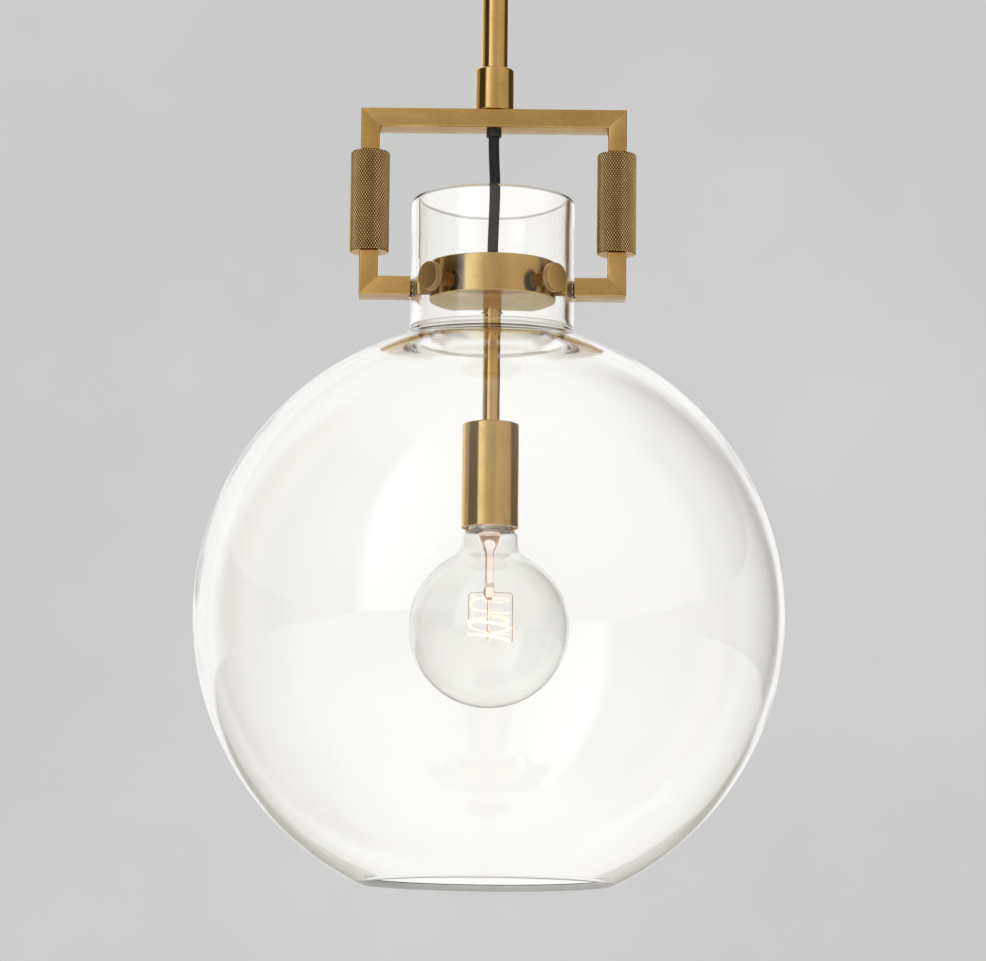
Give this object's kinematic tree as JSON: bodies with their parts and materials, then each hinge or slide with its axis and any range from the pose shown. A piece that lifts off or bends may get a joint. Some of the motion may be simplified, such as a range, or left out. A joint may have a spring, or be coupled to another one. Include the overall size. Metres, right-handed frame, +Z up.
{
  "type": "pendant ceiling light",
  "caption": "Clear glass globe pendant on a brass yoke with knurled grips, a support disc with thumbscrews, a lamp cup, a globe bulb, a stem and a ceiling canopy.",
  "frame": {"origin": "centre of the ceiling plane, in the middle of the crossbar's two slots", "axes": "+Z up out of the ceiling plane, +X along the yoke's bar to its right end seen from the front, front faces -Y"},
  "size_m": [0.35, 0.3498, 0.7183],
  "materials": {
    "aged_brass": "brushed, aged, clear lacquer",
    "knurled_brass": "fine diamond knurl, aged",
    "plated_steel": "zinc plated",
    "black_fabric": "braided cord cover",
    "black_plastic": "moulded, matte",
    "black_rubber": "soft, matte",
    "white_insulation": "satin",
    "clear_glass": "clear, fire polished",
    "bulb_glass": "clear, thin",
    "porcelain": "glazed",
    "green_screw": "green passivated",
    "cap_metal": "bright rolled",
    "tungsten": "glowing coil"
  },
  "bodies": {
    "ceiling_fitting": {"crossbar": "plated_steel", "ceiling_nipple": "plated_steel", "nipple_locknut": "plated_steel", "ground_screw": "green_screw", "ceiling_lead": "black_fabric"},
    "canopy": {"canopy": "aged_brass"},
    "canopy_ring": {"canopy_ring": "aged_brass"},
    "swivel": {"swivel_fork": "aged_brass", "swivel_pins": "aged_brass"},
    "pendant": {"stem_knuckle": "aged_brass", "stem_tube": "aged_brass", "stem_lead": "black_fabric", "stem_collar": "aged_brass", "collar_screw_tube": "plated_steel", "cord_bushing": "black_plastic", "upper_yoke": "aged_brass", "grip_stud_left": "plated_steel", "grip_stud_right": "plated_steel", "lower_arm_left": "aged_brass", "lower_arm_right": "aged_brass", "arm_screws": "aged_brass", "arm_gaskets": "black_rubber", "shade_spacers": "aged_brass", "glass_shade": "clear_glass", "disc_body": "aged_brass", "disc_cover": "aged_brass", "cover_screws": "aged_brass", "disc_grommet": "black_rubber", "supply_cord": "black_fabric", "cord_clamp": "white_insulation", "drop_coupling": "aged_brass", "coupling_nut": "plated_steel", "lock_ring": "aged_brass", "drop_rod": "aged_brass", "rod_leads": "white_insulation", "rod_nut": "plated_steel", "socket_cup": "aged_brass", "lampholder_cap": "plated_steel", "terminal_screws": "plated_steel", "lampholder_body": "porcelain", "screw_shell": "cap_metal", "centre_contact": "aged_brass"},
    "grip_left": {"grip_left": "knurled_brass"},
    "grip_right": {"grip_right": "knurled_brass"},
    "bulb_tip": {"bulb_contact": "cap_metal"},
    "bulb": {"bulb_base": "cap_metal", "bulb_envelope": "bulb_glass", "bulb_mount": "bulb_glass", "bulb_supports": "plated_steel", "bulb_filament": "tungsten"},
    "thumb_washer_left": {"thumb_washer_left": "black_rubber"},
    "thumbscrew_left": {"thumbscrew_left": "knurled_brass"},
    "thumb_washer_right": {"thumb_washer_right": "black_rubber"},
    "thumbscrew_right": {"thumbscrew_right": "knurled_brass"}
  },
  "joints": [
    {"name": "canopy_travel", "type": "slide", "parent": "ceiling_fitting", "child": "canopy", "axis": [0, 0, -1], "range_m": [0, 0.01]},
    {"name": "canopy_ring_turn", "type": "hinge", "parent": "canopy", "child": "canopy_ring", "pos_m": [0, 0, -0.0315], "axis": [0, 0, -1], "range_deg": [0, 3830]},
    {"name": "swivel_turn", "type": "hinge", "parent": "ceiling_fitting", "child": "swivel", "pos_m": [0, 0, -0.049], "axis": [0, 0, 1], "range_deg": [-170, 170]},
    {"name": "swivel_tilt", "type": "hinge", "parent": "swivel", "child": "pendant", "pos_m": [0, 0, -0.0683], "axis": [1, 0, 0], "range_deg": [-45, 45]},
    {"name": "grip_left_turn", "type": "hinge", "parent": "pendant", "child": "grip_left", "pos_m": [-0.0743, 0, -0.309], "axis": [0, 0, 1], "continuous": true},
    {"name": "grip_right_turn", "type": "hinge", "parent": "pendant", "child": "grip_right", "pos_m": [0.0743, 0, -0.309], "axis": [0, 0, 1], "continuous": true},
    {"name": "thumbscrew_left_travel", "type": "slide", "parent": "pendant", "child": "thumb_washer_left", "axis": [-0.7071, -0.7071, 0], "range_m": [0, 0.006]},
    {"name": "thumbscrew_left_turn", "type": "hinge", "parent": "thumb_washer_left", "child": "thumbscrew_left", "pos_m": [-0.03465, -0.03465, -0.3614], "axis": [-0.7071, -0.7071, 0], "range_deg": [0, 2705]},
    {"name": "thumbscrew_right_travel", "type": "slide", "parent": "pendant", "child": "thumb_washer_right", "axis": [0.7071, -0.7071, 0], "range_m": [0, 0.006]},
    {"name": "thumbscrew_right_turn", "type": "hinge", "parent": "thumb_washer_right", "child": "thumbscrew_right", "pos_m": [0.03465, -0.03465, -0.3614], "axis": [0.7071, -0.7071, 0], "range_deg": [0, 2705]},
    {"name": "bulb_travel", "type": "slide", "parent": "pendant", "child": "bulb_tip", "axis": [0, 0, -1], "range_m": [0, 0.018]},
    {"name": "bulb_turn", "type": "hinge", "parent": "bulb_tip", "child": "bulb", "pos_m": [0, 0, -0.4965], "axis": [0, 0, -1], "range_deg": [0, 1788]}
  ],
  "couplings": [
    {"joint": "canopy_ring_turn", "follows": "canopy_travel", "rad_per_m": 6679},
    {"joint": "thumbscrew_left_turn", "follows": "thumbscrew_left_travel", "rad_per_m": 7854},
    {"joint": "thumbscrew_right_turn", "follows": "thumbscrew_right_travel", "rad_per_m": 7854},
    {"joint": "bulb_turn", "follows": "bulb_travel", "rad_per_m": 1731.6}
  ]
}
